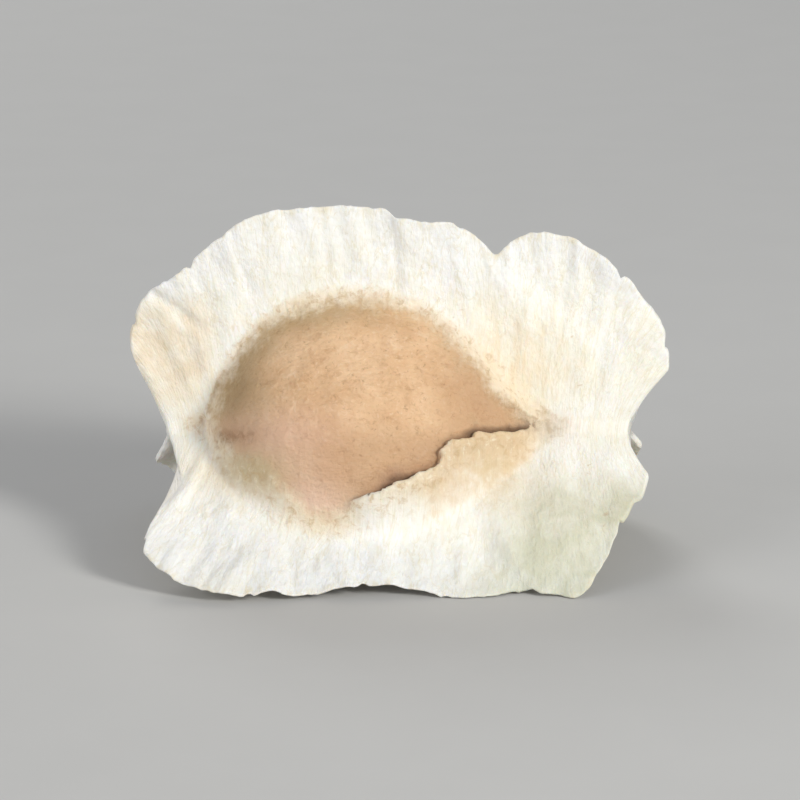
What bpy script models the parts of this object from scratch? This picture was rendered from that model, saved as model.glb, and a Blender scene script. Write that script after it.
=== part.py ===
"""Moringa seed: a three-sided kernel with three papery wings, lying on two of them.

Metres, +Z up. The long axis of the seed runs along X. The origin is under the
middle of the seed, on the plane it rests on. One wing points straight up and
the other two reach down to the plane, so the seed rests on their edges.
Lengths in the tables below are in millimetres and are scaled once, at the end.
"""
import math

import bmesh
import bpy
from mathutils import Vector

MM = 0.001

# ---------------------------------------------------------------- placement
AXIS_HEIGHT = 4.86            # long axis above the resting plane
CENTRE_X = -1.625             # kernel centre, measured from the middle of the length
CENTRE_Y = 0.084             # long axis, measured from the middle of the width

# ------------------------------------------------------------------- kernel
KERNEL_FACE = 4.42            # greatest radius in the middle of a face
KERNEL_RIDGE = 0.185          # how far the ridges stand out, as a part of that
KERNEL_MID = -0.20            # station of the greatest radius
KERNEL_LEFT = 5.95            # from there to the blunt tip
KERNEL_RIGHT = 8.00           # from there to the pointed tip
KERNEL_AROUND = 54
KERNEL_ALONG = 26

# -------------------------------------------------------------------- wings
WING_ANGLES = {"up": 90.0, "front": 212.0, "back": 328.0}
WING_EDGE = 0.26              # thickness at the free edge
WING_ROOT = 1.10              # thickness where it leaves the kernel
ROOT_FADE = 0.85              # distance over which the root thins out
WING_START = -0.30            # sheets begin a little past the long axis
# rows of a wing from the long axis to the free edge, as parts of its width
WING_ROWS = (0.0, 0.22, 0.40, 0.52, 0.59, 0.66, 0.74, 0.82, 0.91, 1.0)

# Free edge of each wing: (station along X, radius), from the blunt end round
# the outside to the pointed end.
EDGES = {
    "up": (
        (-8.65, 2.2), (-9.05, 3.2), (-9.15, 4.3), (-8.65, 5.35), (-7.8, 6.2),
        (-6.8, 7.0), (-5.9, 7.8), (-5.0, 8.5), (-4.1, 8.95), (-3.2, 9.1),
        (-2.1, 9.15), (-1.0, 9.16), (0.1, 9.16), (1.05, 9.12), (1.5, 8.80),
        (2.0, 8.60), (2.9, 8.58), (3.8, 8.45), (4.6, 8.0), (5.4, 7.35),
        (5.85, 7.55), (6.45, 7.88), (7.1, 8.06), (7.8, 8.05), (8.6, 7.84),
        (9.4, 7.4), (10.2, 6.8), (10.9, 6.05), (11.5, 5.25), (12.0, 4.4),
        (12.32, 3.5), (12.4, 2.5),
    ),
    "front": (
        (-7.15, 2.3), (-6.95, 3.4), (-7.5, 4.6), (-8.1, 5.6), (-8.3, 6.55),
        (-7.85, 7.45), (-7.0, 8.15), (-6.0, 8.6), (-4.95, 8.8), (-3.9, 8.8),
        (-2.9, 8.6), (-1.9, 8.28), (-0.9, 8.0), (0.2, 7.84), (1.3, 7.8),
        (2.4, 7.92), (3.5, 8.28), (4.6, 8.75), (5.7, 8.95), (6.8, 8.95),
        (7.8, 8.75), (8.7, 8.3), (9.3, 7.6), (9.7, 6.8), (10.05, 5.95),
        (10.45, 5.05), (10.85, 4.2), (11.25, 3.3), (11.5, 2.4),
    ),
    "back": (
        (-7.9, 2.0), (-8.1, 3.0), (-8.35, 4.1), (-8.3, 5.2), (-8.0, 6.2),
        (-7.4, 7.15), (-6.6, 7.9), (-5.6, 8.45), (-4.5, 8.85), (-3.4, 8.95),
        (-2.3, 8.85), (-1.2, 8.55), (-0.1, 8.35), (1.0, 8.4), (2.1, 8.65),
        (3.2, 8.9), (4.3, 8.95), (5.3, 8.75), (6.1, 8.3), (6.6, 7.7),
        (7.1, 7.45), (7.9, 7.5), (8.7, 7.35), (9.4, 6.9), (10.0, 6.3),
        (10.5, 5.6), (10.95, 4.8), (11.25, 4.0), (11.4, 3.15), (11.45, 2.2),
    ),
}
# Stations of the long axis at both ends of each wing.
AXIS_ENDS = {"up": (-7.80, 10.75), "front": (-7.60, 10.60), "back": (-7.70, 10.85)}
# Cup and waves of each wing across its own plane: steady part, twist from end
# to end, then two waves as (height, count along the edge, phase).
CURLS = {
    "up": (0.12, -0.50, (0.38, 1.30, 0.10), (0.17, 3.1, 0.55)),
    "front": (0.30, 0.16, (0.26, 1.45, 0.30), (0.14, 2.9, 0.15)),
    "back": (-0.28, 0.14, (0.26, 1.35, 0.05), (0.14, 3.2, 0.70)),
}


def kernel_profile(x):
    """Radius of the kernel at station x, as a part of its greatest radius."""
    if x < KERNEL_MID:
        u = min(1.0, (KERNEL_MID - x) / KERNEL_LEFT)
        return (1.0 - u ** 2.5) ** 0.76
    u = min(1.0, (x - KERNEL_MID) / KERNEL_RIGHT)
    return (1.0 - u ** 2.1) ** 1.20


def ridge_share(angle):
    """1 on the ridge that carries a wing, 0 in the middle of a face."""
    nearest = min(
        abs((angle - a + 180.0) % 360.0 - 180.0) for a in WING_ANGLES.values()
    )
    return max(0.0, math.cos(math.radians(min(60.0, nearest)) * 1.5)) ** 3


def kernel_radius(x, angle):
    return KERNEL_FACE * kernel_profile(x) * (1.0 + KERNEL_RIDGE * ridge_share(angle))


def smooth(u):
    u = max(0.0, min(1.0, u))
    return u * u * (3.0 - 2.0 * u)


def place(x, along, across, angle):
    """Point at station x, `along` the wing's direction and `across` its plane."""
    a = math.radians(angle)
    y = along * math.cos(a) - across * math.sin(a)
    z = along * math.sin(a) + across * math.cos(a)
    return Vector(
        ((x + CENTRE_X) * MM, (y + CENTRE_Y) * MM, (z + AXIS_HEIGHT) * MM)
    )


def curl(name, s, radius):
    """Offset of the wing from its flat plane."""
    steady, twist, wave1, wave2 = CURLS[name]
    reach = max(0.0, min(1.3, (radius - 4.4) / 4.8))
    swing = steady + twist * (2.0 * s - 1.0)
    for height, count, phase in (wave1, wave2):
        swing += height * math.sin(2.0 * math.pi * (count * s + phase))
    return swing * reach ** 1.4


def axis_station(name, s):
    """Station on the long axis that belongs to share s of the free edge."""
    left, right = AXIS_ENDS[name]
    ease = s + 0.085 * math.sin(2.0 * math.pi * s) * -1.0
    return left + (right - left) * ease


def edge_shares(name):
    """Share of the free edge's length at each of its points."""
    points = EDGES[name]
    run = [0.0]
    for (x0, r0), (x1, r1) in zip(points, points[1:]):
        run.append(run[-1] + math.hypot(x1 - x0, r1 - r0))
    return [v / run[-1] for v in run]


def wing_thickness(x, radius):
    """Thin at the edge, and thicker close to the kernel."""
    ridge = KERNEL_FACE * kernel_profile(x) * (1.0 + KERNEL_RIDGE)
    gap = max(0.0, radius - ridge)
    return WING_EDGE + (WING_ROOT - WING_EDGE) * (1.0 - smooth(gap / (2.2 * ROOT_FADE)))


def new_object(name, mesh, collection):
    obj = bpy.data.objects.new(name, mesh)
    collection.objects.link(obj)
    return obj


def make_kernel(collection):
    """A sphere drawn out along X into a three-sided drop."""
    bm = bmesh.new()
    bmesh.ops.create_uvsphere(
        bm, u_segments=KERNEL_AROUND, v_segments=KERNEL_ALONG, radius=1.0
    )
    for v in bm.verts:
        # the sphere's poles, on Z, become the two tips on X
        share = math.acos(max(-1.0, min(1.0, v.co.z))) / math.pi
        cosine = -math.cos(math.pi * share)
        if cosine < 0.0:
            x = KERNEL_MID + cosine * KERNEL_LEFT
        else:
            x = KERNEL_MID + cosine * KERNEL_RIGHT
        angle = math.degrees(math.atan2(v.co.y, v.co.x)) + 2.0
        radius = kernel_radius(x, angle)
        if share < 1e-4 or share > 1.0 - 1e-4:
            radius = 0.0
        v.co = place(x, radius, 0.0, angle)
    bmesh.ops.recalc_face_normals(bm, faces=bm.faces)
    mesh = bpy.data.meshes.new("moringa_seed")
    bm.to_mesh(mesh)
    bm.free()
    return new_object("moringa_seed", mesh, collection)


def make_wing(name, collection):
    """A flat grid bent to the wing's outline and curl, then given thickness."""
    edge = EDGES[name]
    shares = edge_shares(name)
    angle = WING_ANGLES[name]
    columns = len(edge)
    rows = len(WING_ROWS)
    bm = bmesh.new()
    bmesh.ops.create_grid(bm, x_segments=columns - 1, y_segments=rows - 1, size=1.0)
    thickness = {}
    for v in bm.verts:
        i = round((v.co.x + 1.0) / 2.0 * (columns - 1))
        j = round((v.co.y + 1.0) / 2.0 * (rows - 1))
        s, t = shares[i], WING_ROWS[j]
        axis_x = axis_station(name, s)
        edge_x, edge_r = edge[i]
        fan = t ** 1.6
        x = axis_x + (edge_x - axis_x) * fan
        radius = WING_START + (edge_r - WING_START) * t
        thickness[v.index] = wing_thickness(x, radius)
        v.co = place(x, radius, curl(name, s, radius), angle)
    mesh = bpy.data.meshes.new("wing_" + name)
    bm.to_mesh(mesh)
    bm.free()
    wing = new_object("wing_" + name, mesh, collection)
    group = wing.vertex_groups.new(name="thickness")
    for index, value in thickness.items():
        group.add([index], value / WING_ROOT, "REPLACE")
    solid = wing.modifiers.new("thickness", "SOLIDIFY")
    solid.thickness = WING_ROOT * MM
    solid.offset = 0.0
    solid.vertex_group = "thickness"
    solid.thickness_vertex_group = 0.0
    solid.use_rim = True
    wing.hide_render = True
    wing.display_type = "WIRE"
    return wing


def make_plane_block(collection):
    """A block under the resting plane, which trims the two lower wings flat."""
    bm = bmesh.new()
    bmesh.ops.create_cube(bm, size=1.0)
    for v in bm.verts:
        v.co = Vector((v.co.x * 0.040, v.co.y * 0.040, v.co.z * 0.010 - 0.005))
    mesh = bpy.data.meshes.new("resting_plane")
    bm.to_mesh(mesh)
    bm.free()
    block = new_object("resting_plane", mesh, collection)
    block.hide_render = True
    block.display_type = "WIRE"
    return block


def make_material():
    material = bpy.data.materials.new("seed_coat")
    material.use_nodes = True
    shader = material.node_tree.nodes["Principled BSDF"]
    shader.inputs["Base Color"].default_value = (0.80, 0.71, 0.52, 1.0)
    shader.inputs["Roughness"].default_value = 0.72
    shader.inputs["Metallic"].default_value = 0.0
    return material


def main():
    for obj in list(bpy.data.objects):
        bpy.data.objects.remove(obj, do_unlink=True)

    seed_parts = bpy.data.collections.new("moringa_seed")
    guides = bpy.data.collections.new("guides")
    bpy.context.scene.collection.children.link(seed_parts)
    bpy.context.scene.collection.children.link(guides)

    seed = make_kernel(seed_parts)
    for name in ("up", "front", "back"):
        join = seed.modifiers.new("join_" + name, "BOOLEAN")
        join.operation = "UNION"
        join.solver = "EXACT"
        join.object = make_wing(name, guides)
    trim = seed.modifiers.new("trim_base", "BOOLEAN")
    trim.operation = "DIFFERENCE"
    trim.solver = "EXACT"
    trim.object = make_plane_block(guides)
    weld = seed.modifiers.new("close_slivers", "WELD")
    weld.merge_threshold = 0.00001

    seed.data.shade_smooth()
    seed.data.set_sharp_from_angle(angle=math.radians(40.0))
    seed.data.materials.append(make_material())


main()
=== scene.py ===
"""Moringa seed: the fine surface, its material, and a plain studio around it."""
import math

import bpy
import numpy as np
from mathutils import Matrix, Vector


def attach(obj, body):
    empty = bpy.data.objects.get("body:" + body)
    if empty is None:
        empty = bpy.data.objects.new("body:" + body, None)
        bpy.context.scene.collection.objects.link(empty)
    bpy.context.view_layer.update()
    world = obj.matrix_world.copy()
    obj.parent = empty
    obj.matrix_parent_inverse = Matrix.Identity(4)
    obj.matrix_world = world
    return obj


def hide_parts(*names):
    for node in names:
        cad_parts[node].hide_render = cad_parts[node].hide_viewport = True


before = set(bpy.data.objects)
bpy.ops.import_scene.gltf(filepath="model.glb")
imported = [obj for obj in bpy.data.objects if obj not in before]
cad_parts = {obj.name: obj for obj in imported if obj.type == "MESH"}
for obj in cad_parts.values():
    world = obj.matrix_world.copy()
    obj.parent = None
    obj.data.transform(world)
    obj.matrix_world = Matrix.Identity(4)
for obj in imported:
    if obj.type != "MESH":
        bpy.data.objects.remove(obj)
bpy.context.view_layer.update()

MM = 0.001

# ------------------------------------------------------------ shared with the CAD
AXIS_HEIGHT = 4.86
CENTRE_X = -1.625
CENTRE_Y = 0.084

KERNEL_FACE = 4.42
KERNEL_RIDGE = 0.185
KERNEL_MID = -0.20
KERNEL_LEFT = 5.95
KERNEL_RIGHT = 8.00

WING_ANGLES = {"up": 90.0, "front": 212.0, "back": 328.0}
WING_START = -0.30
EDGES = {
    "up": (
        (-8.65, 2.2), (-9.05, 3.2), (-9.15, 4.3), (-8.65, 5.35), (-7.8, 6.2),
        (-6.8, 7.0), (-5.9, 7.8), (-5.0, 8.5), (-4.1, 8.95), (-3.2, 9.1),
        (-2.1, 9.15), (-1.0, 9.16), (0.1, 9.16), (1.05, 9.12), (1.5, 8.80),
        (2.0, 8.60), (2.9, 8.58), (3.8, 8.45), (4.6, 8.0), (5.4, 7.35),
        (5.85, 7.55), (6.45, 7.88), (7.1, 8.06), (7.8, 8.05), (8.6, 7.84),
        (9.4, 7.4), (10.2, 6.8), (10.9, 6.05), (11.5, 5.25), (12.0, 4.4),
        (12.32, 3.5), (12.4, 2.5),
    ),
    "front": (
        (-7.15, 2.3), (-7.05, 3.3), (-7.8, 4.3), (-8.3, 5.4), (-8.4, 6.5),
        (-7.85, 7.45), (-7.0, 8.15), (-6.0, 8.6), (-4.95, 8.8), (-3.9, 8.8),
        (-2.9, 8.6), (-1.9, 8.40), (-0.9, 8.22), (0.2, 8.13), (1.3, 8.12),
        (2.4, 8.20), (3.5, 8.42), (4.6, 8.75), (5.7, 8.95), (6.8, 8.95),
        (7.8, 8.75), (8.7, 8.3), (9.3, 7.6), (9.7, 6.8), (10.05, 5.95),
        (10.45, 5.05), (10.85, 4.2), (11.25, 3.3), (11.5, 2.4),
    ),
    "back": (
        (-7.9, 2.0), (-8.1, 3.0), (-8.35, 4.1), (-8.3, 5.2), (-8.0, 6.2),
        (-7.4, 7.15), (-6.6, 7.9), (-5.6, 8.45), (-4.5, 8.85), (-3.4, 8.95),
        (-2.3, 8.85), (-1.2, 8.55), (-0.1, 8.35), (1.0, 8.4), (2.1, 8.65),
        (3.2, 8.9), (4.3, 8.95), (5.3, 8.75), (6.1, 8.3), (6.6, 7.7),
        (7.1, 7.45), (7.9, 7.5), (8.7, 7.35), (9.4, 6.9), (10.0, 6.3),
        (10.5, 5.6), (10.95, 4.8), (11.25, 4.0), (11.4, 3.15), (11.45, 2.2),
    ),
}
AXIS_ENDS = {"up": (-7.80, 10.75), "front": (-7.60, 10.60), "back": (-7.70, 10.85)}
CURLS = {
    "up": (0.12, -0.50, (0.38, 1.30, 0.10), (0.17, 3.1, 0.55)),
    "front": (0.30, 0.16, (0.26, 1.45, 0.30), (0.14, 2.9, 0.15)),
    "back": (-0.28, 0.14, (0.26, 1.35, 0.05), (0.14, 3.2, 0.70)),
}

# ------------------------------------------------------------ fine shape, in mm
ROWS = 236                    # along the seed
WING_COLUMNS = 38             # across each side of a wing
KERNEL_COLUMNS = {"front_face": 92, "under_face": 44, "far_face": 44}
PATCHES = (
    ("front_face", "up", "front"),
    ("under_face", "front", "back"),
    ("far_face", "back", "up"),
)
WING_HALF_EDGE = 0.045        # half thickness at the free edge
WING_HALF_ROOT = 0.150        # half thickness near the kernel
FILLET = 0.80                 # how softly wing and kernel run together
EYE_TILT = 16.0               # the face outline is stated as seen from this height

# Outline of the bare kernel between two wings: (station, height on the face as
# seen a little from above), from the blunt tip over the top and back below.
BARE_FACE = (
    (-5.85, 0.15), (-5.70, 1.20), (-5.15, 2.45), (-4.2, 3.6), (-2.8, 4.55),
    (-0.8, 5.05), (1.1, 5.05), (2.7, 4.45), (3.95, 3.35), (4.95, 2.2),
    (5.9, 1.15), (7.0, 0.22), (6.1, -0.18), (4.9, -0.26), (4.05, -0.38),
    (3.45, -0.78), (3.05, -1.40), (2.35, -1.98), (1.4, -2.36), (0.5, -2.66),
    (-0.35, -3.02), (-1.25, -3.48), (-2.1, -3.10), (-3.2, -2.25), (-4.3, -1.45), (-5.2, -0.70),
)


def fade(t):
    return t * t * t * (t * (t * 6.0 - 15.0) + 10.0)


def smooth(u):
    u = np.clip(u, 0.0, 1.0)
    return u * u * (3.0 - 2.0 * u)


class Noise:
    """Gradient noise in three dimensions, the same on every run."""

    def __init__(self, seed):
        rng = np.random.default_rng(seed)
        self.perm = rng.permutation(256)
        g = rng.normal(size=(256, 3))
        self.grad = g / np.linalg.norm(g, axis=1, keepdims=True)

    def __call__(self, x, y, z=0.0):
        x, y, z = np.broadcast_arrays(
            np.asarray(x, float), np.asarray(y, float), np.asarray(z, float)
        )
        xi, yi, zi = (np.floor(v).astype(int) for v in (x, y, z))
        xf, yf, zf = x - xi, y - yi, z - zi
        u, v, w = fade(xf), fade(yf), fade(zf)
        out = 0.0
        for dx in (0, 1):
            wx = u if dx else 1.0 - u
            for dy in (0, 1):
                wy = v if dy else 1.0 - v
                for dz in (0, 1):
                    wz = w if dz else 1.0 - w
                    h = self.perm[(xi + dx) & 255]
                    h = self.perm[(h + yi + dy) & 255]
                    h = self.perm[(h + zi + dz) & 255]
                    g = self.grad[h]
                    out = out + wx * wy * wz * (
                        g[..., 0] * (xf - dx) + g[..., 1] * (yf - dy) + g[..., 2] * (zf - dz)
                    )
        return out * 1.6


NOISE = Noise(11)


def kernel_profile(x):
    left = np.clip((KERNEL_MID - x) / KERNEL_LEFT, 0.0, 1.0)
    right = np.clip((x - KERNEL_MID) / KERNEL_RIGHT, 0.0, 1.0)
    return np.where(
        x < KERNEL_MID, (1.0 - left ** 2.5) ** 0.76, (1.0 - right ** 2.1) ** 1.20
    )


def ridge_share(angle):
    nearest = np.full_like(angle, 60.0)
    for a in WING_ANGLES.values():
        nearest = np.minimum(nearest, np.abs((angle - a + 180.0) % 360.0 - 180.0))
    return np.maximum(0.0, np.cos(np.radians(nearest) * 1.5)) ** 3


def kernel_radius(x, angle):
    return KERNEL_FACE * kernel_profile(x) * (1.0 + KERNEL_RIDGE * ridge_share(angle))


def catmull(points, u):
    """Smooth curve through the points, at index u."""
    p = np.asarray(points, float)
    n = len(p)
    i = np.clip(np.floor(u).astype(int), 0, n - 2)
    f = (u - i)[..., None]
    p0, p1 = p[np.maximum(i - 1, 0)], p[i]
    p2, p3 = p[np.minimum(i + 1, n - 1)], p[np.minimum(i + 2, n - 1)]
    return 0.5 * (
        2.0 * p1 + (p2 - p0) * f + (2 * p0 - 5 * p1 + 4 * p2 - p3) * f ** 2
        + (3 * p1 - p0 - 3 * p2 + p3) * f ** 3
    )


def closed_curve(points, steps):
    p = np.asarray(points, float)
    n = len(p)
    out = []
    for i in range(n):
        q = p[[(i - 1) % n, i, (i + 1) % n, (i + 2) % n]]
        for k in range(steps):
            out.append(catmull(q, np.array([1.0 + k / steps]))[0])
    return np.array(out)


def signed_distance(px, py, polygon):
    """Distance to the outline, positive inside it."""
    best = np.full(px.shape, 1e9)
    inside = np.zeros(px.shape, bool)
    n = len(polygon)
    for i in range(n):
        ax, ay = polygon[i]
        bx, by = polygon[(i + 1) % n]
        ex, ey = bx - ax, by - ay
        t = np.clip(((px - ax) * ex + (py - ay) * ey) / (ex * ex + ey * ey), 0.0, 1.0)
        best = np.minimum(best, np.hypot(px - ax - t * ex, py - ay - t * ey))
        crosses = (ay > py) != (by > py)
        if ey != 0.0:
            at = ax + (py - ay) / ey * ex
            inside ^= crosses & (px < at)
    return np.where(inside, best, -best)


def edge_curve(name, s):
    """Free edge of a wing at shares s: station and radius, with its raggedness."""
    points = np.asarray(EDGES[name], float)
    steps = np.hypot(*np.diff(points, axis=0).T)
    run = np.concatenate([[0.0], np.cumsum(steps)])
    length = run[-1]
    u = np.interp(s, run / length, np.arange(len(points)))
    e = catmull(points, u)
    arc = s * length
    seed = {"up": 3.1, "front": 17.4, "back": 41.9}[name]
    rag = (
        0.15 * NOISE(arc / 1.45, seed, 0.5)
        + 0.085 * NOISE(arc / 0.55, seed, 7.5)
        + 0.035 * NOISE(arc / 0.22, seed, 13.5)
    )
    for at, depth, width in NICKS[name]:
        rag = rag - depth * np.exp(-(((arc - at) / width) ** 2))
    # every edge point moves along the line from the long axis to it
    axis = axis_station(name, s)
    dx, dr = e[:, 0] - axis, e[:, 1]
    reach = np.hypot(dx, dr)
    k = 1.0 + (rag - 0.08) / np.maximum(reach, 1.5)
    return axis + dx * k, dr * k, length


# small tears in the free edges: (place along the edge, depth, width)
NICKS = {
    "up": ((2.6, 0.22, 0.16), (5.9, 0.16, 0.13), (17.4, 0.10, 0.12), (24.8, 0.26, 0.15), (28.3, 0.18, 0.18)),
    "front": ((4.2, 0.30, 0.20), (9.6, 0.14, 0.15), (14.1, 0.22, 0.18), (19.8, 0.12, 0.12), (26.2, 0.30, 0.20)),
    "back": ((3.3, 0.25, 0.18), (8.1, 0.16, 0.14), (13.2, 0.30, 0.17), (22.4, 0.42, 0.14), (27.0, 0.2, 0.2)),
}


def axis_station(name, s):
    left, right = AXIS_ENDS[name]
    ease = s - 0.085 * np.sin(2.0 * math.pi * s)
    return left + (right - left) * ease


def curl(name, s, radius):
    steady, twist, wave1, wave2 = CURLS[name]
    reach = np.clip((radius - 4.4) / 4.8, 0.0, 1.3)
    swing = steady + twist * (2.0 * s - 1.0)
    for height, count, phase in (wave1, wave2):
        swing = swing + height * np.sin(2.0 * math.pi * (count * s + phase))
    return swing * reach ** 1.4


def segment_side(x, r, x0, r0, x1, r1):
    """Signed distance across a line, and how far along it a point is (0 to 1)."""
    ex, er = x1 - x0, r1 - r0
    length = math.hypot(ex, er)
    along = ((x - x0) * ex + (r - r0) * er) / length ** 2
    across = ((x - x0) * -er + (r - r0) * ex) / length
    return across, along


def wing_relief(name, s, x, radius, edge_r):
    """Creases and radial wrinkles of a wing's sheet, both sides alike."""
    seed = {"up": 2.3, "front": 31.7, "back": 57.2}[name]
    reach = np.clip((radius - 4.2) / np.maximum(edge_r - 4.2, 2.0), 0.0, 1.1)
    ridge = kernel_radius(x, np.full_like(x, WING_ANGLES[name]))
    free = smooth((radius - ridge - 0.30) / 2.4)
    arc = s * 31.0
    warp = 0.55 * NOISE(arc / 4.0, radius / 3.0, seed + 4.0)
    relief = 0.210 * NOISE(arc / 2.7 + warp, reach * 1.1, seed) * free
    relief = relief + 0.150 * NOISE(arc / 1.25 + warp, reach * 1.3, seed + 9.0) * free
    outer = smooth((radius - 4.6) / 2.2)
    # papery pleats: sharp ridges that run outward and fade towards the kernel
    pleat = np.abs(NOISE(arc / 0.95 + 1.4 * warp, reach * 1.0, seed + 15.0))
    relief = relief + 0.130 * (0.28 - np.minimum(pleat, 0.55)) * outer
    pleat = np.abs(NOISE(arc / 0.43 + 1.4 * warp, reach * 2.1, seed + 27.0))
    relief = relief + 0.060 * (0.28 - np.minimum(pleat, 0.55)) * outer
    # blisters and crumples with no direction
    lump = NOISE(x / 0.75, radius / 0.80, seed + 33.0)
    relief = relief + 0.060 * np.sign(lump) * np.abs(lump) ** 1.3 * free
    crumple = np.abs(NOISE(x / 0.55 + warp, radius / 0.60, seed + 45.0))
    relief = relief + 0.045 * (0.28 - np.minimum(crumple, 0.55)) * free
    relief = relief + 0.022 * NOISE(x / 0.28, radius / 0.32, seed + 21.0) * free
    for x0, r0, x1, r1, height, width, kind in CREASES[name]:
        across, along = segment_side(x, radius, x0, r0, x1, r1)
        near = smooth((along + 0.12) / 0.2) * smooth((1.15 - along) / 0.35)
        if kind == "fold":
            relief = relief + height * np.tanh(across / width) * near * np.exp(-np.abs(across) / 1.6)
        else:
            relief = relief - height * np.exp(-((across / width) ** 2)) * near
    return relief


# creases: (station, radius) at both ends, height, width, kind
CREASES = {
    "up": (
        (1.35, 9.2, 1.75, 5.4, 0.15, 0.20, "fold"),
        (4.9, 7.3, 9.6, 3.6, -0.15, 0.46, "fold"),
        (-5.2, 8.8, -4.3, 5.6, 0.09, 0.18, "line"),
        (-8.3, 5.8, -6.2, 4.1, 0.12, 0.22, "line"),
        (8.4, 7.8, 8.0, 4.2, 0.09, 0.20, "line"),
        (-1.6, 9.3, -1.2, 6.2, 0.07, 0.16, "line"),
    ),
    "front": (
        (-2.4, 9.7, -2.9, 6.0, 0.10, 0.20, "fold"),
        (1.8, 9.2, 1.2, 5.6, 0.12, 0.22, "fold"),
        (7.6, 9.8, 4.6, 4.4, -0.16, 0.26, "fold"),
        (-6.4, 9.7, -4.7, 5.6, 0.10, 0.20, "line"),
        (10.2, 6.2, 7.2, 3.2, 0.10, 0.22, "line"),
        (4.3, 9.6, 3.9, 6.3, 0.08, 0.18, "line"),
    ),
    "back": (
        (6.5, 8.7, 5.0, 5.2, 0.16, 0.22, "fold"),
        (-3.0, 9.7, -2.6, 6.0, 0.10, 0.20, "line"),
        (1.2, 9.4, 1.0, 5.8, -0.12, 0.22, "fold"),
        (-7.4, 8.0, -5.4, 4.9, 0.12, 0.22, "line"),
        (9.8, 7.4, 7.4, 3.6, 0.10, 0.22, "line"),
    ),
}


def wing_half(name, s, radius, edge_r, end_taper):
    """Half the thickness of a wing's sheet."""
    reach = np.clip((radius - 4.6) / np.maximum(edge_r - 4.6, 2.0), 0.0, 1.0)
    half = WING_HALF_EDGE + (WING_HALF_ROOT - WING_HALF_EDGE) * (1.0 - reach) ** 1.8
    return half * end_taper


def smin(a, b, k):
    h = np.maximum(k - np.abs(a - b), 0.0) / k
    return np.minimum(a, b) - h * h * k * 0.25


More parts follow.
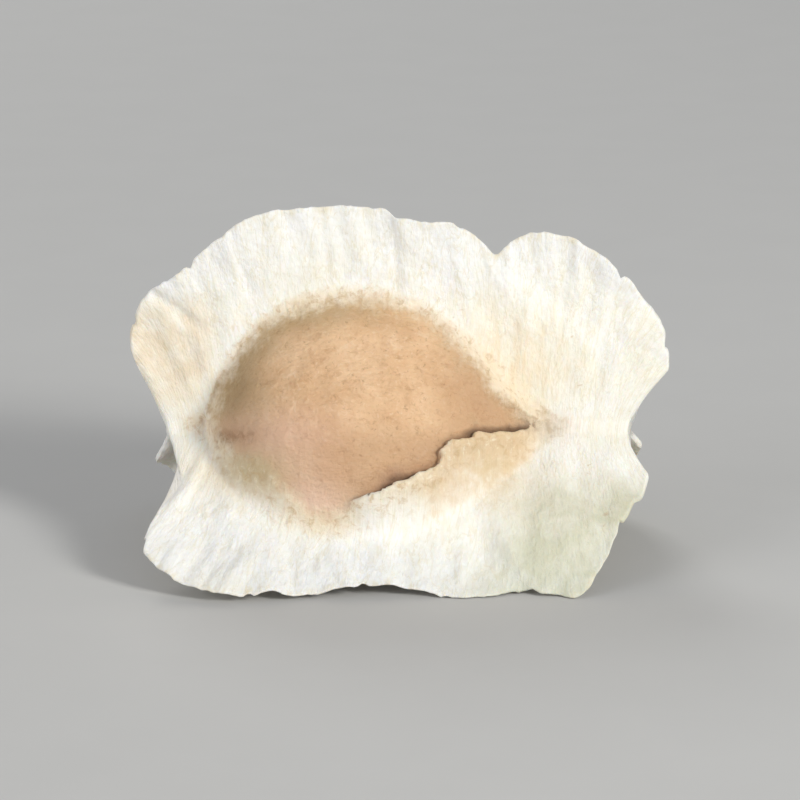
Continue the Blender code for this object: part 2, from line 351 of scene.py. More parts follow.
def build_patch(face, wing_a, wing_b, rows):
    """Surface points of one face of the seed: wing side, kernel, wing side."""
    a, b = WING_ANGLES[wing_a], WING_ANGLES[wing_b]
    if b < a:
        b += 360.0
    spread = b - a
    n = len(rows)
    s = rows[:, None]
    nk = KERNEL_COLUMNS[face]
    half = nk // 2

    def side(name):
        ex, er, length = edge_curve(name, rows)
        ax = axis_station(name, rows)
        return {"ex": ex[:, None], "er": er[:, None], "ax": ax[:, None], "length": length}

    sides = {wing_a: side(wing_a), wing_b: side(wing_b)}

    def station(name, radius):
        d = sides[name]
        t = np.clip((radius - WING_START) / (d["er"] - WING_START), 0.0, 1.2)
        return d["ax"] + (d["ex"] - d["ax"]) * t ** 1.6

    def root_radius(name):
        """Where the fillet ends and the free sheet begins."""
        d = sides[name]
        x = d["ax"] + (d["ex"] - d["ax"]) * 0.30
        ridge = kernel_radius(x, np.full_like(x, WING_ANGLES[name]))
        return np.minimum(np.maximum(ridge + 0.95, 0.80), d["er"] * 0.75)

    def trimmed_edge(name):
        """Free edge radius, cut where the sheet meets the resting plane."""
        d = sides[name]
        r = d["er"].copy()
        if name == "up":
            return r
        ang = math.radians(WING_ANGLES[name])
        for _ in range(12):
            x = station(name, r)
            off = curl(name, s, r) + wing_relief(name, s, x, r, d["er"])
            z = AXIS_HEIGHT + r * math.sin(ang) + off * math.cos(ang) - WING_HALF_EDGE * 1.1
            r = np.where(z < 0.0, r + 0.9 * z / abs(math.sin(ang)), r)
        return np.minimum(r, d["er"])

    cut = {k: trimmed_edge(k) for k in sides}

    origins, headings, blends, owner, reach_of = [], [], [], [], []
    # wing A, from its edge in to the root
    w = np.linspace(1.0, 0.0, WING_COLUMNS) ** 0.92
    for name in (wing_a, wing_b):
        root = root_radius(name)
        cols_r = root + (cut[name] - root) * w[None, :]
        if name == wing_a:
            ra = cols_r
        else:
            rb = cols_r[:, ::-1]
    q = (np.arange(1, half + 1)) / half          # 0 root, 1 bisector
    ease = q ** 0.9
    ka = root_radius(wing_a) * (1.0 - ease[None, :])
    turn_a = 90.0 - (90.0 - spread / 2.0) * ease
    qb = (np.arange(half - 1, -1, -1) + 0.0) / half
    qb = np.concatenate([q[::-1][1:], []]) if nk % 2 == 0 else q[::-1]
    ease_b = qb ** 0.9
    kb = root_radius(wing_b) * (1.0 - ease_b[None, :])
    turn_b = 90.0 - (90.0 - spread / 2.0) * ease_b

    radial = np.concatenate([ra, ka, kb, rb], axis=1)
    m = radial.shape[1]
    from_b = np.zeros(m, bool)
    from_b[WING_COLUMNS + len(q):] = True
    turn = np.concatenate([np.full(WING_COLUMNS, 90.0), turn_a, turn_b, np.full(WING_COLUMNS, 90.0)])
    mix = np.concatenate([np.zeros(WING_COLUMNS), 0.5 * q, 1.0 - 0.5 * qb, np.ones(WING_COLUMNS)])

    ra_, rb_ = math.radians(a), math.radians(b)
    ea, na = np.array([math.cos(ra_), math.sin(ra_)]), np.array([-math.sin(ra_), math.cos(ra_)])
    eb, nb = np.array([math.cos(rb_), math.sin(rb_)]), np.array([-math.sin(rb_), math.cos(rb_)])

    e_own = np.where(from_b[:, None], eb, ea)
    n_own = np.where(from_b[:, None], -nb, na)
    t = np.radians(turn)[:, None]
    heading = e_own * np.cos(t) + n_own * np.sin(t)          # (m, 2)

    # how far each row is from the two ends, for rounding the end edges
    end = np.minimum(s, 1.0 - s)
    run = 8.6 + (31.0 - 8.6) * np.clip(radial / 9.0, 0.0, 1.0)
    e = np.clip(end * run / 0.16, 0.0, 1.0)
    taper = 0.30 + 0.70 * np.sqrt(1.0 - (1.0 - e) ** 2)

    def sheet(name, py, pz, side_sign, extra=None):
        ang = math.radians(WING_ANGLES[name])
        c, sn = math.cos(ang), math.sin(ang)
        r = py * c + pz * sn
        u = -py * sn + pz * c
        rr = np.maximum(r, 0.0)
        d = sides[name]
        off = curl(name, s, rr)
        if extra is not None:
            off = off + extra
        h = wing_half(name, s, rr, d["er"], taper)
        flat = (u - off) * side_sign - h
        return np.where(r >= 0.0, flat, np.hypot(u, r) - h), rr

    own_names = np.where(from_b, wing_b, wing_a)

    def own_offset(relief):
        off = np.where(from_b[None, :], curl(wing_b, s, radial), curl(wing_a, s, radial))
        return off + relief

    def solve(lift, relief_a, relief_b):
        relief_own = np.where(from_b[None, :], relief_b, relief_a)
        off = own_offset(relief_own) * np.where(from_b, -1.0, 1.0)[None, :]
        oy = radial * e_own[:, 0][None, :] + off * n_own[:, 0][None, :]
        oz = radial * e_own[:, 1][None, :] + off * n_own[:, 1][None, :]

        def field(lam):
            py = oy + lam * heading[:, 0][None, :]
            pz = oz + lam * heading[:, 1][None, :]
            fa, r_a = sheet(wing_a, py, pz, 1.0, relief_a)
            fb, r_b = sheet(wing_b, py, pz, -1.0, relief_b)
            rho = np.hypot(py, pz)
            own_r = np.where(from_b[None, :], r_b, r_a)
            reach_r = np.where(mix[None, :] * (1 - mix[None, :]) > 0, rho, np.maximum(own_r, 0.0))
            x = (1.0 - mix[None, :]) * station(wing_a, reach_r) + mix[None, :] * station(wing_b, reach_r)
            ang = np.degrees(np.arctan2(pz, py))
            kr = kernel_radius(x, ang) + lift
            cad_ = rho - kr
            k = 0.45 + (FILLET - 0.45) * smooth(kernel_profile(x) * 1.6)
            f = smin(smin(fa, fb, 0.8 * k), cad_, k)
            return f, py, pz, x, ang

        lo = np.zeros_like(radial)
        hi = np.zeros_like(radial)
        found = np.zeros(radial.shape, bool)
        step = 0.22
        for i in range(1, 34):
            lam = np.full_like(radial, i * step)
            f = field(lam)[0]
            hit = (f > 0.0) & ~found
            hi = np.where(hit, lam, hi)
            lo = np.where(~found & ~hit, lam, lo)
            found |= hit
            if found.all():
                break
        hi = np.where(found, hi, lo)
        for _ in range(16):
            mid = 0.5 * (lo + hi)
            f = field(mid)[0]
            lo = np.where(f > 0.0, lo, mid)
            hi = np.where(f > 0.0, mid, hi)
        return field(0.5 * (lo + hi))

    zero = np.zeros_like(radial)
    _, py, pz, x, ang = solve(zero, zero, zero)

    # where the point lies on the face, turned to the front face's own angles
    rho = np.hypot(py, pz)
    share = ((ang - a) % 360.0) / spread
    share = np.clip(np.where(share > 2.0, share - 360.0 / spread, share), 0.0, 1.0)
    if face == "far_face":
        share = 1.0 - share
    front_angle = 90.0 + 122.0 * share
    high = rho * np.sin(np.radians(front_angle + EYE_TILT))
    px, ph = x, high
    if face == "under_face":
        px, ph = (x - 0.2) * 1.02 + 0.3, high * 1.06 + 0.25
    elif face == "far_face":
        px = x * 0.97 - 0.25
        ph = high * 1.03 - 0.10 + 0.55 * np.sin(0.75 * x + 0.6) * smooth((1.5 - high) / 1.5)
    seed = {"front_face": 5.0, "under_face": 25.0, "far_face": 45.0}[face]
    wobble = 0.26 * NOISE(px / 1.1, ph / 1.1, seed) + 0.11 * NOISE(px / 0.42, ph / 0.42, seed + 3.0)
    outline = closed_curve(BARE_FACE, 5)
    bare = signed_distance(px, ph, outline) + wobble
    bare = bare - 1.8 * smooth((rho - kernel_radius(x, ang) - 0.40) / 1.0)

    # skin left on the kernel, thickest on the lower lip towards the pointed end
    lip = smooth((px + 0.8) / 1.7) * smooth((7.5 - px) / 1.2) * smooth((0.5 - ph) / 0.5)
    tatter = 0.5 + 0.5 * NOISE(px / 0.8, ph / 0.8, seed + 12.0)
    skin = 0.06 + 0.05 * tatter + 0.26 * lip
    lift = skin * (1.0 - smooth((bare + 0.05 + 0.25 * (1.0 - lip)) / (0.13 + 0.60 * (1.0 - lip))))
    # the lip is a fold, with a ridge along it that falls back to the wing
    lift = lift + 0.16 * lip * np.exp(-(((bare + 0.32) / 0.24) ** 2))
    # a fuller shoulder under the skin, above the pointed end
    lift = lift + 0.42 * np.exp(-(((x - 5.9) / 1.9) ** 2)) * np.exp(-(((front_angle - 116.0) / 18.0) ** 2))
    # low lumps, fibres along the kernel and fine grain
    grain = smooth((bare + 0.1) / 0.3)
    lift = lift + 0.095 * NOISE(x / 1.9, py / 1.7, pz / 1.7) + 0.040 * NOISE(x / 0.8, py / 0.7, pz / 0.7 + 9.0)
    fibre = np.abs(NOISE(x / 1.25 + 0.3 * NOISE(x, py, pz), py / 0.60, pz / 0.60 + 4.0))
    lift = lift + grain * 0.036 * (0.25 - np.minimum(fibre, 0.5))
    lift = lift + grain * 0.030 * NOISE(x / 0.42, py / 0.36, pz / 0.36 + 24.0)
    lift = lift + grain * 0.016 * NOISE(x / 0.21, py / 0.19, pz / 0.19 + 14.0)
    # face marks, as shares: painted shade on the upper rim by the blunt end; painted shade over the lower half,
    # and a duller brown towards the pointed end that is partly painted shade
    upper_rim_shade = smooth((1.5 - bare) / 1.5) * smooth((ph + 0.6) / 1.8) * smooth((3.0 - px) / 5.0)
    low_shade_brown_end = 0.75 * smooth((0.7 - ph) / 1.5) * smooth((px + 3.6) / 3.8) * smooth((ph + 3.7) / 1.5)
    low_shade_brown_end = np.maximum(smooth((px - 2.2) / 2.8), low_shade_brown_end)
    pale = np.exp(-(((px + 1.7) / 1.5) ** 2) - (((ph + 2.95) / 0.8) ** 2))
    patch = np.exp(-(((px - 5.2) / 1.25) ** 2) - (((ph + 1.75) / 0.95) ** 2))
    rosy = smooth((0.8 - px) / 3.8) * smooth((1.7 - ph) / 2.2)
    peach = np.exp(-(((px - 6.1) / 2.1) ** 2) - (((ph - 2.8) / 1.9) ** 2))
    # painted shadow: a darker patch on the kernel's upper left, by the blunt end
    shade = np.exp(-(((px + 4.7) / 1.25) ** 2) - (((ph - 1.5) / 1.5) ** 2))
    blunt = smooth((-5.0 - x) / 1.8) * smooth((2.9 - np.abs(ph - 3.1)) / 2.2)
    straw_lip = lip * smooth((px - 1.9 + 2.0 * wobble) / 2.0)
    film = np.exp(-(((px + 4.2) / 1.7) ** 2) - (((ph + 1.65) / 0.95) ** 2))
    # painted shade in the hollows: a painted shadow along the crevice of the torn skin, but not where it steps,
    # a dark streak beside the blunt tip where the skin folds, and a painted grey shadow past the pointed tip
    gap = lip * (1.0 - 0.85 * np.exp(-(((px - 3.15) / 0.55) ** 2)))
    hollow_shade = np.exp(-(((px - 1.3) / 1.35) ** 2)) * lip
    fold = np.exp(-(((ph + 0.30) / 0.34) ** 2)) * smooth((-3.5 - px) / 1.1) * smooth((px + 6.05) / 0.7)
    tip_shadow = np.exp(-(((px - 7.4) / 0.95) ** 2) - (((ph - 0.10) / 0.55) ** 2))
    if face != "front_face":
        fold, shade, film = 0.30 * fold, 0.45 * shade, 0.60 * film
    # painted shade where the lower wing turns down towards the pointed end
    turn_down_shade = smooth((x - 4.0 + 0.35 * (rho - 6.0)) / 3.2) * smooth((rho - 1.6) / 2.8) * smooth((front_angle - 158.0) / 30.0)
    # shallow pits in the skin
    for fx, fh, size, depth in PITS.get(face, ()):
        lift = lift - depth * np.exp(-(((px - fx) / size) ** 2) - (((ph - fh) / (size * 0.7)) ** 2))

    relief_a = wing_relief(wing_a, s, x, np.maximum(rho, 0.0), sides[wing_a]["er"])
    relief_b = wing_relief(wing_b, s, x, np.maximum(rho, 0.0), sides[wing_b]["er"])
    relief_a = np.where(mix[None, :] <= 0.5, relief_a, 0.0) * (1.0 - smooth(mix[None, :] * 2.0))
    relief_b = np.where(mix[None, :] >= 0.5, relief_b, 0.0) * (1.0 - smooth((1.0 - mix[None, :]) * 2.0))
    _, py, pz, x, ang = solve(lift, relief_a, relief_b)
    bare = np.maximum(bare, -3.0)
    # the skin is drawn smooth over the blunt tip, where the surface turns away
    tip = 0.5 * smooth((-4.7 - x) / 0.5) * smooth((3.4 - np.hypot(py, pz)) / 0.8)
    for _ in range(14):
        for v in (x, py, pz):
            mean = v.copy()
            mean[1:-1, 1:-1] = 0.25 * (v[2:, 1:-1] + v[:-2, 1:-1] + v[1:-1, 2:] + v[1:-1, :-2])
            v += tip * (mean - v)

    reach_a = np.clip((radial - 4.6) / (sides[wing_a]["er"] - 4.6).clip(2.0), 0.0, 1.0)
    reach_b = np.clip((radial - 4.6) / (sides[wing_b]["er"] - 4.6).clip(2.0), 0.0, 1.0)
    reach = np.where(from_b[None, :], reach_b, reach_a)
    points = np.stack([x, py, pz], axis=-1)
    arc = np.broadcast_to(s * 31.0, radial.shape)
    values = {
        "bare": bare, "reach": reach, "arc": arc, "out": np.hypot(py, pz),
        "lip": lip, "upper_rim_shade": upper_rim_shade, "low_shade_brown_end": low_shade_brown_end, "rosy": rosy,
        "film": film, "turn_down_shade": turn_down_shade, "shade": shade, "blunt": blunt,
        "straw_lip": straw_lip, "peach": peach, "gap": gap, "hollow_shade": hollow_shade,
        "fold": fold, "tip_shadow": tip_shadow, "pale": pale, "patch": patch,
    }
    return points, values


PITS = {
    "front_face": ((-2.9, 1.7, 0.24, 0.07), (3.3, 2.2, 0.28, 0.06)),
    "under_face": ((3.2, 1.0, 0.25, 0.10), (-2.4, 2.0, 0.25, 0.08)),
    "far_face": ((-1.6, -1.4, 0.25, 0.09), (2.4, 2.4, 0.22, 0.08)),
}


def build_seed():
    # rows crowd a little at both ends, where the wings turn round the lobes,
    # and over the blunt end of the kernel, which falls away steeply
    fine = np.linspace(0.0, 1.0, 2001)
    crowd = 1.0 + 0.30 * np.exp(-((np.minimum(fine, 1.0 - fine) / 0.06) ** 2))
    crowd = crowd + 1.1 * np.exp(-(((fine - 0.19) / 0.05) ** 2))
    total_run = np.concatenate([[0.0], np.cumsum(0.5 * (crowd[1:] + crowd[:-1]))])
    rows = np.interp(np.linspace(0.0, 1.0, ROWS), total_run / total_run[-1], fine)
    blocks, marks, layers = [], [], {}
    start = 0
    for face, wing_a, wing_b in PATCHES:
        points, values = build_patch(face, wing_a, wing_b, rows)
        m = points.shape[1]
        marks.append((face, wing_a, wing_b, start, m))
        blocks.append(points)
        start += m + 1
        # one more column on the rim of wing B, filled in below
        blocks.append(np.zeros((ROWS, 1, 3)))
        for key, value in values.items():
            layers.setdefault(key, []).append(np.broadcast_to(value, (ROWS, m)))
            layers[key].append(np.broadcast_to(value, (ROWS, m))[:, -1:])
    grid = np.concatenate(blocks, axis=1)
    layers = {key: np.concatenate(value, axis=1) for key, value in layers.items()}
    total = grid.shape[1]

    # rim: between the last column of one patch and the first of the next
    for face, wing_a, wing_b, first, m in marks:
        j = first + m
        before, after = grid[:, j - 1], grid[:, (j + 1) % total]
        middle = 0.5 * (before + after)
        inner = 0.5 * (grid[:, j - 2] + grid[:, (j + 2) % total])
        out = middle - inner
        out /= np.maximum(np.linalg.norm(out, axis=1, keepdims=True), 1e-6)
        gap = np.linalg.norm(before - after, axis=1, keepdims=True)
        grid[:, j] = middle + out * gap * 0.40

    place = grid + np.array([CENTRE_X, CENTRE_Y, AXIS_HEIGHT])
    place[..., 2] = np.maximum(place[..., 2], 0.0)
    verts = place.reshape(-1, 3) * MM
    quads = []
    i = np.arange(ROWS - 1)[:, None]
    j = np.arange(total)[None, :]
    k = (j + 1) % total
    quads = np.stack(
        [i * total + j, i * total + k, (i + 1) * total + k, (i + 1) * total + j], axis=-1
    ).reshape(-1, 4)
    faces = [tuple(q) for q in quads.tolist()]

    # close both ends: strips across each wing, and a fan over the middle
    extra = []
    for row, flip in ((0, False), (ROWS - 1, True)):
        base = row * total
        ring = []
        for p, (face, wing_a, wing_b, first, m) in enumerate(marks):
            rim = first + m
            nxt = (rim + 1) % total
            for c in range(WING_COLUMNS - 1):
                b0, b1 = rim - 1 - c, rim - 2 - c
                a0, a1 = nxt + c, nxt + c + 1
                f = (base + b0, base + b1, base + a1, base + a0)
                extra.append(f if not flip else f[::-1])
            f = (base + rim - 1, base + nxt, base + rim)
            extra.append(f[::-1] if not flip else f)
            f = None
            ring += list(range(first + WING_COLUMNS - 1, first + m - WING_COLUMNS + 1))
        centre = place[row, ring].mean(axis=0)
        centre_index = len(verts)
        verts = np.vstack([verts, centre[None, :] * MM])
        for u, v in zip(ring, ring[1:] + ring[:1]):
            f = (centre_index, base + v, base + u)
            extra.append(f if not flip else f[::-1])
    faces += extra

    mesh = bpy.data.meshes.new("seed_surface")
    mesh.from_pydata(verts.tolist(), [], faces)
    mesh.validate()
    mesh.update()
    for name, values in layers.items():
        pad = len(verts) - values.size
        flat = np.concatenate([values.ravel(), np.full(pad, -1.0 if name == "bare" else 0.0)])
        layer = mesh.attributes.new(name, "FLOAT", "POINT")
        layer.data.foreach_set("value", flat.astype(np.float32))
    return mesh


def outward(mesh):
    """Turn the faces so that they all point out."""
    import bmesh
    bm = bmesh.new()
    bm.from_mesh(mesh)
    bmesh.ops.recalc_face_normals(bm, faces=bm.faces)
    if bm.calc_volume(signed=True) < 0.0:
        bmesh.ops.reverse_faces(bm, faces=bm.faces)
    open_edges = sum(1 for e in bm.edges if len(e.link_faces) != 2)
    print("seed surface:", len(bm.verts), "points,", sum(len(f.verts) - 2 for f in bm.faces),
          "triangles,", open_edges, "open edges,", round(bm.calc_volume() * 1e9, 1), "mm3")
    bm.to_mesh(mesh)
    bm.free()
    mesh.shade_smooth()


# ---------------------------------------------------------------- material
def srgb(r, g, b):
    def f(c):
        c /= 255.0
        return c / 12.92 if c <= 0.04045 else ((c + 0.055) / 1.055) ** 2.4
    return (f(r), f(g), f(b), 1.0)


class Graph:
    """Short names for adding shader nodes."""

    def __init__(self, material):
        material.use_nodes = True
        self.nodes = material.node_tree.nodes
        self.links = material.node_tree.links
        self.nodes.clear()

    def put(self, socket, value):
        if isinstance(value, bpy.types.NodeSocket):
            self.links.new(value, socket)
        elif value is not None:
            socket.default_value = value

    def attribute(self, name):
        n = self.nodes.new("ShaderNodeAttribute")
        n.attribute_name = name
        return n.outputs["Fac"]

    def math(self, op, a, b=None, c=None, clamp=False):
        n = self.nodes.new("ShaderNodeMath")
        n.operation = op
        n.use_clamp = clamp
        self.put(n.inputs[0], a)
        if b is not None:
            self.put(n.inputs[1], b)
        if c is not None:
            self.put(n.inputs[2], c)
        return n.outputs[0]

    def ramp(self, value, low, high, a=0.0, b=1.0, shape="SMOOTHSTEP"):
        n = self.nodes.new("ShaderNodeMapRange")
        n.interpolation_type = shape
        n.clamp = True
        self.put(n.inputs["Value"], value)
        n.inputs["From Min"].default_value = low
        n.inputs["From Max"].default_value = high
        n.inputs["To Min"].default_value = a
        n.inputs["To Max"].default_value = b
        return n.outputs["Result"]

    def mix(self, fac, a, b, mode="MIX"):
        n = self.nodes.new("ShaderNodeMix")
        n.data_type = "RGBA"
        n.blend_type = mode
        self.put(n.inputs["Factor"], fac)
        self.put(n.inputs["A"], a) if False else None
        inputs = [k for k in n.inputs if k.type == "RGBA"]
        self.put(inputs[0], a)
        self.put(inputs[1], b)
        return [k for k in n.outputs if k.type == "RGBA"][0]

    def noise(self, vector, scale, detail=3.0, rough=0.55, distortion=0.0):
        n = self.nodes.new("ShaderNodeTexNoise")
        self.put(n.inputs["Vector"], vector)
        n.inputs["Scale"].default_value = scale
        n.inputs["Detail"].default_value = detail
        n.inputs["Roughness"].default_value = rough
        n.inputs["Distortion"].default_value = distortion
        return n.outputs["Fac"]

    def voronoi(self, vector, scale, feature="F1", randomness=1.0):
        n = self.nodes.new("ShaderNodeTexVoronoi")
        n.feature = feature
        self.put(n.inputs["Vector"], vector)
        n.inputs["Scale"].default_value = scale
        n.inputs["Randomness"].default_value = randomness
        return n.outputs["Distance"]

    def combine(self, x, y, z):
        n = self.nodes.new("ShaderNodeCombineXYZ")
        self.put(n.inputs[0], x)
        self.put(n.inputs[1], y)
        self.put(n.inputs[2], z)
        return n.outputs[0]


def seed_material():
    material = bpy.data.materials.new("seed_coat_fine")
    g = Graph(material)
    coords = g.nodes.new("ShaderNodeTexCoord").outputs["Object"]
    scaled = g.nodes.new("ShaderNodeVectorMath")
    scaled.operation = "SCALE"
    g.put(scaled.inputs[0], coords)
    scaled.inputs["Scale"].default_value = 1000.0           # millimetres
    here = scaled.outputs[0]

    bare = g.attribute("bare")
    reach = g.attribute("reach")
    arc = g.attribute("arc")
    out_mm = g.attribute("out")
    lip = g.attribute("lip")

    # position in the sheet: along the edge, and outward at a coarser scale, so
    # that what follows it runs outward
    sheet = g.combine(arc, g.math("MULTIPLY", out_mm, 0.34), 0.0)
    # position drawn out along the kernel
    stretch = g.nodes.new("ShaderNodeVectorMath")
    stretch.operation = "MULTIPLY"
    g.put(stretch.inputs[0], here)
    stretch.inputs[1].default_value = (0.38, 1.0, 1.0)
    drawn = stretch.outputs[0]

    # how much of the surface is bare kernel: a torn edge, soft where the skin
    # thins out over the kernel and crisp along the folded lip
    fray = g.math("SUBTRACT", g.noise(here, 2.6, 5.0, 0.65), 0.5)
    threads = g.math("SUBTRACT", g.noise(sheet, 5.0, 3.0, 0.6), 0.5)
    soft = g.math("SUBTRACT", 1.0, lip, clamp=True)
    loose = g.math("MULTIPLY", g.math("ADD", g.math("MULTIPLY", fray, 1.1), g.math("MULTIPLY", threads, 0.22)), g.math("MULTIPLY_ADD", soft, 0.85, 0.15))
    edge = g.math("ADD", bare, loose)
    crisp = g.ramp(edge, -0.02, 0.08)
    thin = g.ramp(edge, -0.42, 0.50)
    kernel = g.math("ADD", g.math("MULTIPLY", crisp, lip), g.math("MULTIPLY", thin, soft), clamp=True)

    # ------------------------------------------------ wings
    cloud = g.noise(here, 0.38, 3.0, 0.5)
    streak = g.noise(sheet, 2.1, 4.0, 0.56, 0.9)
    vein = g.noise(sheet, 1.35, 4.0, 0.6, 0.8)
    vein = g.math("ABSOLUTE", g.math("SUBTRACT", vein, 0.5))
    vein = g.ramp(vein, 0.0, 0.030, 1.0, 0.0)
    cells = g.voronoi(g.combine(arc, g.math("MULTIPLY", out_mm, 0.75), 0.0), 5.5)
    wing = g.mix(g.ramp(cloud, 0.34, 0.68), srgb(254, 252, 246), srgb(250, 246, 235))
    wing = g.mix(g.ramp(streak, 0.50, 0.78, 0.0, 0.60), wing, srgb(240, 231, 208))
    wing = g.mix(g.math("MULTIPLY", vein, 0.34), wing, srgb(224, 211, 180))
    wing = g.mix(g.ramp(cells, 0.35, 0.75, 0.0, 0.14), wing, srgb(230, 219, 192))
    # painted shade, grey-green, on the part of the lower wing that turns down, with some of a thin sheet's
    # greener look
    patchy = g.noise(here, 0.85, 3.0, 0.55, 0.6)
    wing = g.mix(g.math("MULTIPLY", g.attribute("turn_down_shade"), g.ramp(patchy, 0.32, 0.66, 0.60, 1.0)), wing, srgb(213, 212, 189))
    # straw colour towards the kernel, and a trace of it at the free edge
    straw = g.math("MULTIPLY", g.ramp(bare, -1.5, 0.0, 0.0, 0.66), g.ramp(cloud, 0.25, 0.7, 0.6, 1.0))
    wing = g.mix(straw, wing, srgb(233, 211, 173))
    wing = g.mix(g.math("MULTIPLY", g.attribute("blunt"), g.ramp(patchy, 0.30, 0.62, 0.25, 0.70)), wing, srgb(231, 213, 184))
    wing = g.mix(g.math("MULTIPLY", g.attribute("peach"), g.ramp(streak, 0.35, 0.65, 0.45, 0.85)), wing, srgb(247, 228, 198))
    under_lip = g.math("MULTIPLY", g.attribute("straw_lip"), g.ramp(g.math("MULTIPLY_ADD", fray, 1.3, bare), -2.4, -0.7, 0.0, 0.88))
    wing = g.mix(under_lip, wing, srgb(225, 198, 160))
    wing = g.mix(g.math("MULTIPLY", g.attribute("patch"), g.ramp(fray, -0.20, 0.16, 0.45, 0.90)), wing, srgb(221, 198, 160))
    wing = g.mix(g.math("MULTIPLY", g.attribute("film"), 0.85), wing, srgb(207, 187, 147))
    # the skin over the kernel is fibrous, with straw flecks that thin outward
    skin = g.noise(here, 2.9, 6.0, 0.68, 0.6)
    near = g.ramp(bare, -2.2, -0.2)
    wing = g.mix(g.math("MULTIPLY", g.ramp(skin, 0.50, 0.66, 0.0, 0.62), near), wing, srgb(204, 174, 130))
    wing = g.mix(g.math("MULTIPLY", g.ramp(skin, 0.46, 0.34, 0.0, 0.60), near), wing, srgb(250, 241, 220))
    hem = g.math("MULTIPLY", g.ramp(reach, 0.90, 1.0, 0.0, 0.42), g.ramp(streak, 0.40, 0.62))
    wing = g.mix(hem, wing, srgb(228, 211, 174))
    # a few small brown marks, uneven in size and shape
    ragged = g.math("MULTIPLY_ADD", g.noise(here, 6.0, 3.0, 0.6), 0.22, -0.11)
    spot = g.ramp(g.math("ADD", g.voronoi(here, 0.62), ragged), 0.02, 0.10, 1.0, 0.0)
    spot = g.math("MULTIPLY", spot, g.ramp(g.noise(here, 0.9, 2.0), 0.50, 0.62, 0.0, 0.55))
    wing = g.mix(spot, wing, srgb(176, 142, 98))
    smear = g.math("MULTIPLY", g.ramp(g.noise(here, 1.25, 5.0, 0.7, 1.2), 0.635, 0.72, 0.0, 0.42), g.ramp(reach, 0.0, 0.8, 1.0, 0.35))
    wing = g.mix(smear, wing, srgb(198, 170, 124))

    # ------------------------------------------------ kernel
    big = g.noise(here, 0.50, 4.0, 0.55, 0.4)
    fibre = g.noise(drawn, 2.6, 6.0, 0.66, 0.9)
    mottle = g.noise(here, 1.5, 7.0, 0.70, 0.7)
    fleck = g.noise(here, 5.2, 5.0, 0.66, 0.5)
    brown = g.mix(g.ramp(big, 0.32, 0.68), srgb(236, 200, 160), srgb(224, 184, 142))
    brown = g.mix(g.ramp(mottle, 0.50, 0.72, 0.0, 0.55), brown, srgb(196, 150, 108))
    brown = g.mix(g.ramp(mottle, 0.46, 0.30, 0.0, 0.50), brown, srgb(246, 218, 184))
    brown = g.mix(g.ramp(fibre, 0.54, 0.74, 0.0, 0.42), brown, srgb(186, 142, 102))
    brown = g.mix(g.ramp(fleck, 0.56, 0.72, 0.0, 0.50), brown, srgb(160, 116, 80))
    brown = g.mix(g.ramp(fleck, 0.44, 0.30, 0.0, 0.35), brown, srgb(248, 224, 194))
    brown = g.mix(g.math("MULTIPLY", g.attribute("rosy"), 0.62), brown, srgb(231, 191, 168))
    # painted shade over the lower half of the kernel; towards the pointed end a duller brown, partly its own
    # tone and partly painted shade
    brown = g.mix(g.math("MULTIPLY", g.attribute("low_shade_brown_end"), 0.62), brown, srgb(186, 145, 108))
    # painted shade: darker olive on the kernel's upper rim by the blunt end, where it turns under the upper
    # wing
    brown = g.mix(g.math("MULTIPLY", g.attribute("upper_rim_shade"), 0.68), brown, srgb(162, 138, 98))
    # painted shadow on the kernel's upper left, by the blunt end
    brown = g.mix(g.math("MULTIPLY", g.attribute("shade"), 0.52), brown, srgb(142, 118, 78))
    # painted shade: darker along the soft edge of the bare kernel, where it turns under the skin
    rim = g.math("MULTIPLY", g.ramp(edge, 0.0, 0.8, 0.42, 0.0), soft)
    brown = g.mix(rim, brown, srgb(206, 178, 136))
    brown = g.mix(g.math("MULTIPLY", g.attribute("film"), 0.70), brown, srgb(196, 176, 134))
    brown = g.mix(g.math("MULTIPLY", g.attribute("pale"), 0.60), brown, srgb(240, 212, 192))
    # painted shade in the hollow along the lip
    brown = g.mix(g.math("MULTIPLY", g.attribute("hollow_shade"), g.ramp(edge, 0.15, 1.15, 0.52, 0.0)), brown, srgb(140, 102, 84))

    color = g.mix(kernel, wing, brown)
    # painted shadow: a grey tail past the pointed tip
    color = g.mix(g.math("MULTIPLY", g.attribute("tip_shadow"), g.ramp(skin, 0.36, 0.60, 0.45, 0.80)), color, srgb(196, 180, 158))
    # painted shade: a dark streak beside the blunt tip, where the skin folds over the kernel
    color = g.mix(g.math("MULTIPLY", g.attribute("fold"), g.ramp(skin, 0.36, 0.60, 0.30, 0.72)), color, srgb(158, 118, 84))
    # painted shadow: a dark line in the crevice along the torn skin of the lip
    line = g.math("MULTIPLY", g.ramp(edge, -0.02, 0.05), g.ramp(edge, 0.10, 0.50, 1.0, 0.0))
    line = g.math("MULTIPLY", line, g.math("MULTIPLY", g.attribute("gap"), 0.80))
    color = g.mix(line, color, srgb(84, 58, 38))

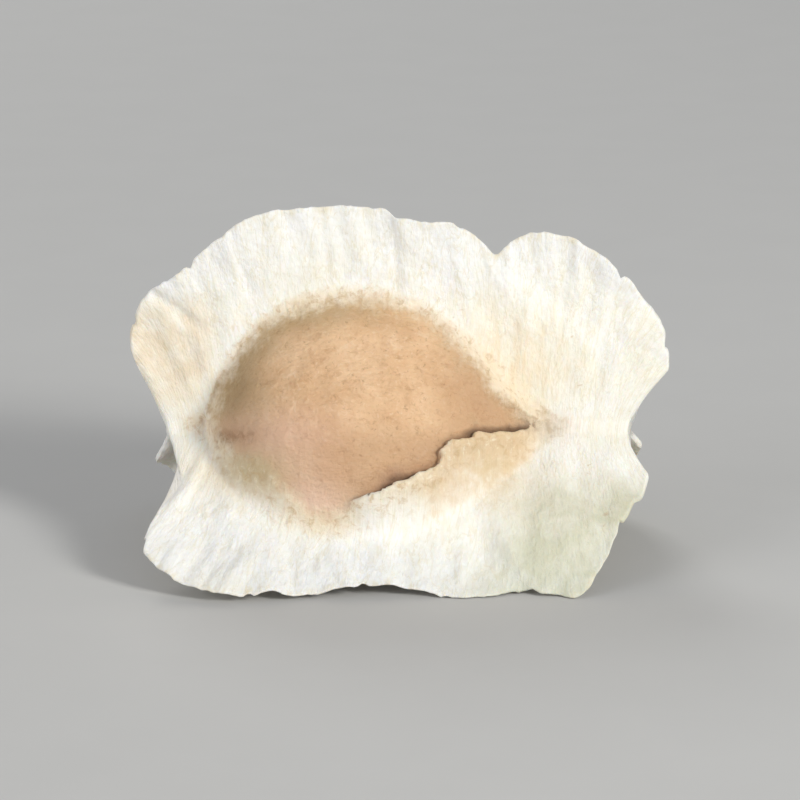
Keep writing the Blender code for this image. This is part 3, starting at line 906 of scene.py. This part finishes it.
    # ------------------------------------------------ relief
    grain = g.noise(here, 7.0, 6.0, 0.65)
    pores = g.voronoi(drawn, 7.5)
    fibres = g.noise(sheet, 5.5, 3.0, 0.55, 0.8)
    kernel_height = g.math("ADD", g.math("MULTIPLY", fleck, -0.9), g.math("ADD", g.math("MULTIPLY", grain, 1.0), g.math("MULTIPLY", pores, 0.45)))
    wing_height = g.math("ADD", g.math("MULTIPLY", fibres, 0.75), g.math("ADD", g.math("MULTIPLY", grain, 0.60), g.math("MULTIPLY", cells, 0.25)))
    wing_height = g.math("ADD", wing_height, g.math("MULTIPLY", g.math("MULTIPLY", skin, near), 1.5))
    height = g.nodes.new("ShaderNodeMix")
    height.data_type = "FLOAT"
    g.put(height.inputs[0], kernel)
    g.put(height.inputs[2], wing_height)
    g.put(height.inputs[3], kernel_height)
    bump = g.nodes.new("ShaderNodeBump")
    bump.inputs["Strength"].default_value = 0.75
    bump.inputs["Distance"].default_value = 0.00009
    g.put(bump.inputs["Height"], height.outputs[0])

    rough = g.math("MULTIPLY_ADD", grain, 0.20, 0.46)
    shader = g.nodes.new("ShaderNodeBsdfPrincipled")
    g.put(shader.inputs["Base Color"], color)
    g.put(shader.inputs["Roughness"], rough)
    g.put(shader.inputs["Normal"], bump.outputs[0])
    shader.inputs["Metallic"].default_value = 0.0
    shader.inputs["IOR"].default_value = 1.45
    shader.inputs["Specular IOR Level"].default_value = 0.35
    shader.inputs["Subsurface Weight"].default_value = 0.35
    shader.inputs["Subsurface Radius"].default_value = (1.0, 0.72, 0.48)
    shader.inputs["Subsurface Scale"].default_value = 0.00045
    out = g.nodes.new("ShaderNodeOutputMaterial")
    g.links.new(shader.outputs["BSDF"], out.inputs["Surface"])
    return material


def floor_material():
    material = bpy.data.materials.new("studio_floor")
    g = Graph(material)
    coords = g.nodes.new("ShaderNodeTexCoord").outputs["Object"]
    tone = g.noise(coords, 260.0, 3.0, 0.5)
    color = g.mix(g.ramp(tone, 0.3, 0.7), srgb(196, 196, 194), srgb(197, 197, 195))
    shader = g.nodes.new("ShaderNodeBsdfPrincipled")
    g.put(shader.inputs["Base Color"], color)
    shader.inputs["Roughness"].default_value = 0.85
    shader.inputs["Specular IOR Level"].default_value = 0.2
    out = g.nodes.new("ShaderNodeOutputMaterial")
    g.links.new(shader.outputs["BSDF"], out.inputs["Surface"])
    return material


# ---------------------------------------------------------------- build
mesh = build_seed()
outward(mesh)
seed = bpy.data.objects.new("seed", mesh)
bpy.context.scene.collection.objects.link(seed)
mesh.materials.append(seed_material())
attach(seed, "root")
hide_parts("moringa_seed")


# ---------------------------------------------------------------- studio
def aim(obj, target):
    direction = Vector(target) - obj.location
    obj.rotation_euler = direction.to_track_quat("-Z", "Y").to_euler()


floor_mesh = bpy.data.meshes.new("studio_floor")
side = 3.0
floor_mesh.from_pydata(
    [(-side, -side, -2e-5), (side, -side, -2e-5), (side, side, -2e-5), (-side, side, -2e-5)],
    [], [(0, 1, 2, 3)],
)
floor = bpy.data.objects.new("studio_floor", floor_mesh)
bpy.context.scene.collection.objects.link(floor)
floor_mesh.materials.append(floor_material())


def area(name, where, size, power, color, target=(0.0, 0.0, 0.006)):
    lamp = bpy.data.lights.new(name, "AREA")
    lamp.shape = "SQUARE"
    lamp.size = size
    lamp.energy = power
    lamp.color = color
    obj = bpy.data.objects.new(name, lamp)
    obj.location = where
    bpy.context.scene.collection.objects.link(obj)
    aim(obj, target)
    return obj


area("key", (0.20, -0.19, 0.135), 0.075, 0.71, (1.0, 0.985, 0.955))
area("fill", (-0.25, -0.17, 0.09), 0.20, 0.36, (0.985, 0.985, 1.0))
area("rim", (-0.08, 0.22, 0.20), 0.12, 0.24, (1.0, 0.99, 0.97))

world = bpy.data.worlds.new("studio")
bpy.context.scene.world = world
world.use_nodes = True
world.node_tree.nodes["Background"].inputs["Color"].default_value = (0.93, 0.95, 1.0, 1.0)
world.node_tree.nodes["Background"].inputs["Strength"].default_value = 0.30

camera_data = bpy.data.cameras.new("camera")
camera_data.lens = 200.0
camera_data.sensor_width = 36.0
camera_data.clip_start = 0.005
camera_data.clip_end = 20.0
camera = bpy.data.objects.new("camera", camera_data)
bpy.context.scene.collection.objects.link(camera)
target = Vector((0.0, 0.0, 0.0061))
distance = 0.178
elevation = math.radians(EYE_TILT)
camera.location = target + Vector((0.0, -math.cos(elevation), math.sin(elevation))) * distance
aim(camera, target)
bpy.context.scene.camera = camera

bpy.context.scene.view_settings.view_transform = "Standard"
bpy.context.scene.view_settings.look = "None"
